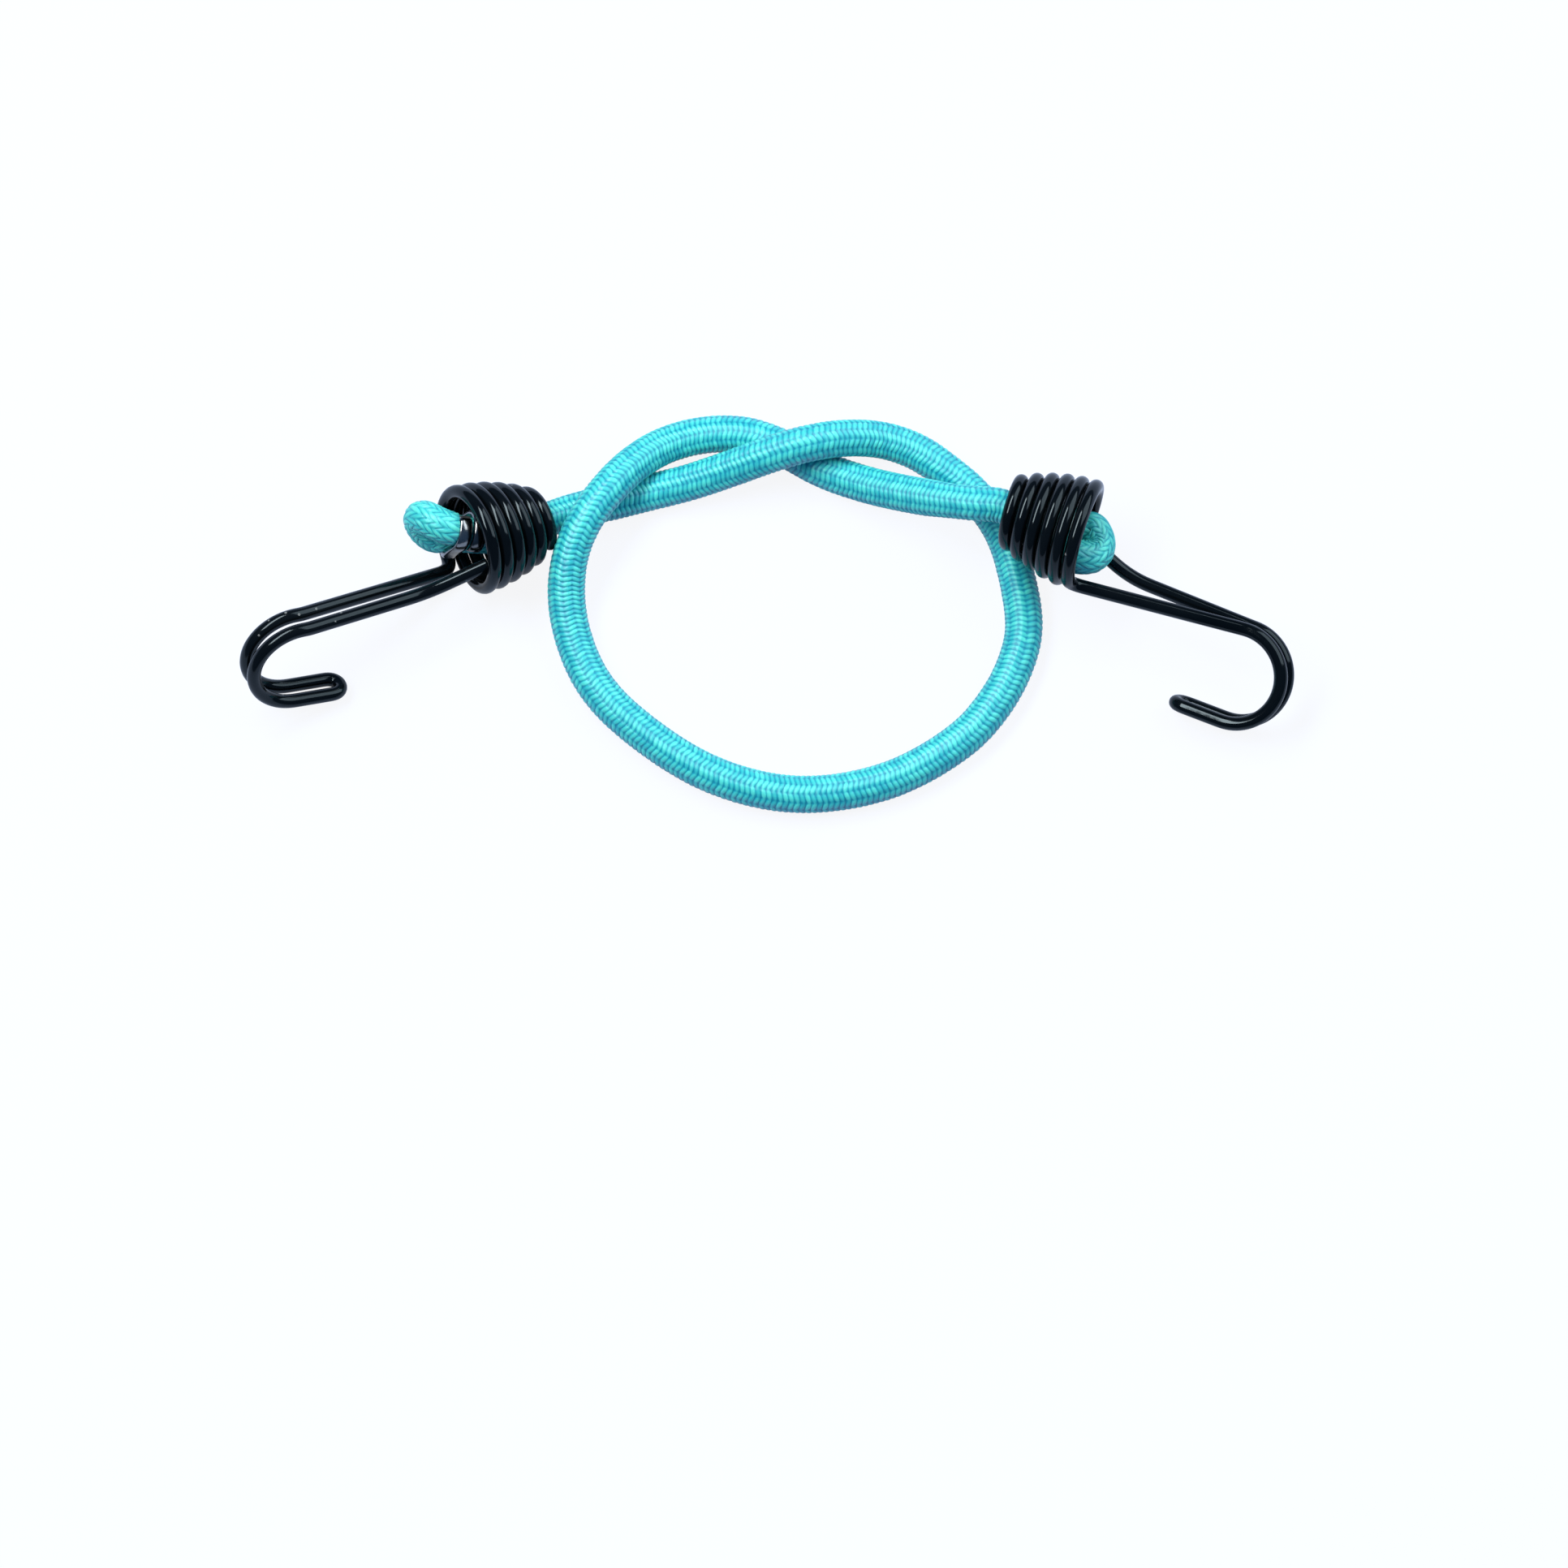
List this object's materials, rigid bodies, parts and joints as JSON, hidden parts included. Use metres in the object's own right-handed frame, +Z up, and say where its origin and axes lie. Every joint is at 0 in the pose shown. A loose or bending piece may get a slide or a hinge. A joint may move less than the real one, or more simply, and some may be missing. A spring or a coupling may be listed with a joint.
{
  "type": "bungee cord",
  "caption": "Braided elastic cord in a loose overhand knot, each end folded back under a clip and held in the coil of a twin-wire hook that turns on the cord.",
  "frame": {"origin": "on the floor that the cord lies on, midway between the outer edges of the two hooks", "axes": "+X from the left hook to the right hook, +Z up from the floor, +Y towards the knot"},
  "size_m": [0.2303, 0.0893, 0.0308],
  "materials": {
    "braid": "shiny turquoise-blue braid",
    "rubber": "matt natural rubber",
    "coated_wire": "gloss black coating on steel wire",
    "steel": "bright flat steel wire"
  },
  "bodies": {
    "cord": {"cord_sheath": "braid", "core_strand_1": "rubber", "core_strand_2": "rubber", "core_strand_3": "rubber", "core_strand_4": "rubber", "core_strand_5": "rubber", "core_strand_6": "rubber", "core_strand_7": "rubber"},
    "left_end": {"left_hook": "coated_wire", "left_clip": "steel", "left_fold_sheath": "braid", "left_fold_core": "rubber"},
    "right_end": {"right_hook": "coated_wire", "right_clip": "steel", "right_fold_sheath": "braid", "right_fold_core": "rubber"}
  },
  "joints": [
    {"name": "left_hook_swivel", "type": "hinge", "parent": "cord", "child": "left_end", "pos_m": [-0.0653, 0.01375, 0.01378], "axis": [-0.8756, -0.3326, 0.3502], "range_deg": [-180, 180]},
    {"name": "right_hook_swivel", "type": "hinge", "parent": "cord", "child": "right_end", "pos_m": [0.0682, 0.01395, 0.01826], "axis": [0.9303, -0.359, 0.075], "range_deg": [-180, 180]}
  ]
}
